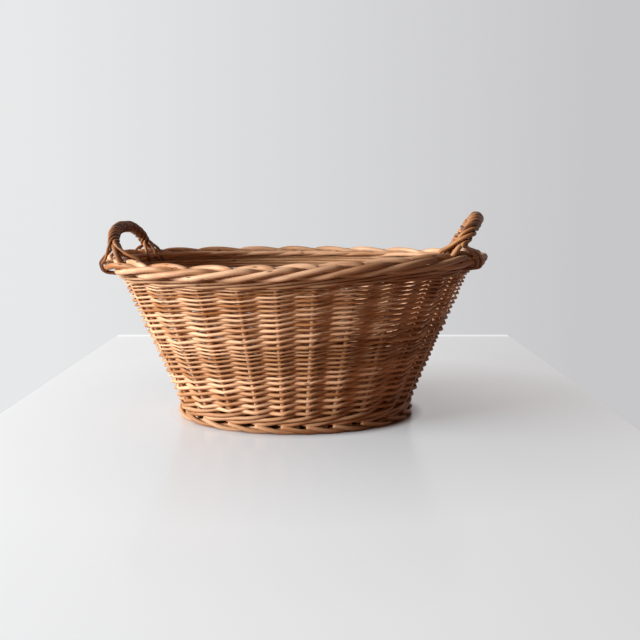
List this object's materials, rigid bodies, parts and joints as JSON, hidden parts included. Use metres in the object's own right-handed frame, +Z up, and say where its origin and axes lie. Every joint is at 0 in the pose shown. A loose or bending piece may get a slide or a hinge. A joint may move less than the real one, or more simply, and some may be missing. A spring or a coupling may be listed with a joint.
{
  "type": "oval willow basket",
  "caption": "Oval woven willow basket with a flared wall, a rod border, a roped foot and a roped hoop handle standing at each end.",
  "frame": {"origin": "middle of the foot on the surface it stands on", "axes": "+X along the basket's length, through both handles; +Y across it; +Z up"},
  "size_m": [0.3755, 0.2574, 0.1993],
  "materials": {
    "stake_willow": "smooth peeled willow, satin",
    "randing_willow": "peeled willow, satin",
    "waling_willow": "peeled willow, satin",
    "bottom_willow": "peeled willow, dull",
    "handle_willow": "brown willow with its bark, satin"
  },
  "bodies": {
    "root": {"stake_01": "stake_willow", "stake_02": "stake_willow", "stake_03": "stake_willow", "stake_04": "stake_willow", "stake_05": "stake_willow", "stake_06": "stake_willow", "stake_07": "stake_willow", "stake_08": "stake_willow", "stake_09": "stake_willow", "stake_10": "stake_willow", "stake_11": "stake_willow", "stake_12": "stake_willow", "stake_13": "stake_willow", "stake_14": "stake_willow", "stake_15": "stake_willow", "stake_16": "stake_willow", "stake_17": "stake_willow", "stake_18": "stake_willow", "stake_19": "stake_willow", "stake_20": "stake_willow", "stake_21": "stake_willow", "stake_22": "stake_willow", "stake_23": "stake_willow", "stake_24": "stake_willow", "upsett_rod_1": "waling_willow", "upsett_rod_2": "waling_willow", "upsett_rod_3": "waling_willow", "top_wale_rod_1": "waling_willow", "top_wale_rod_2": "waling_willow", "top_wale_rod_3": "waling_willow", "rand_lower_weaver_1": "randing_willow", "rand_lower_weaver_2": "randing_willow", "rand_upper_weaver_1": "randing_willow", "rand_upper_weaver_2": "randing_willow", "foot_rod_1": "waling_willow", "foot_rod_2": "waling_willow", "foot_rod_3": "waling_willow", "cross_stick_1": "bottom_willow", "cross_stick_2": "bottom_willow", "cross_stick_3": "bottom_willow", "cross_stick_4": "bottom_willow", "cross_stick_5": "bottom_willow", "long_stick_1": "bottom_willow", "long_stick_2": "bottom_willow", "long_stick_3": "bottom_willow", "bottom_weaver_1": "bottom_willow", "bottom_weaver_2": "bottom_willow", "right_handle_bow": "handle_willow", "right_handle_wrap_1": "handle_willow", "right_handle_wrap_2": "handle_willow", "right_handle_wrap_3": "handle_willow", "left_handle_bow": "handle_willow", "left_handle_wrap_1": "handle_willow", "left_handle_wrap_2": "handle_willow", "left_handle_wrap_3": "handle_willow"}
  },
  "joints": []
}
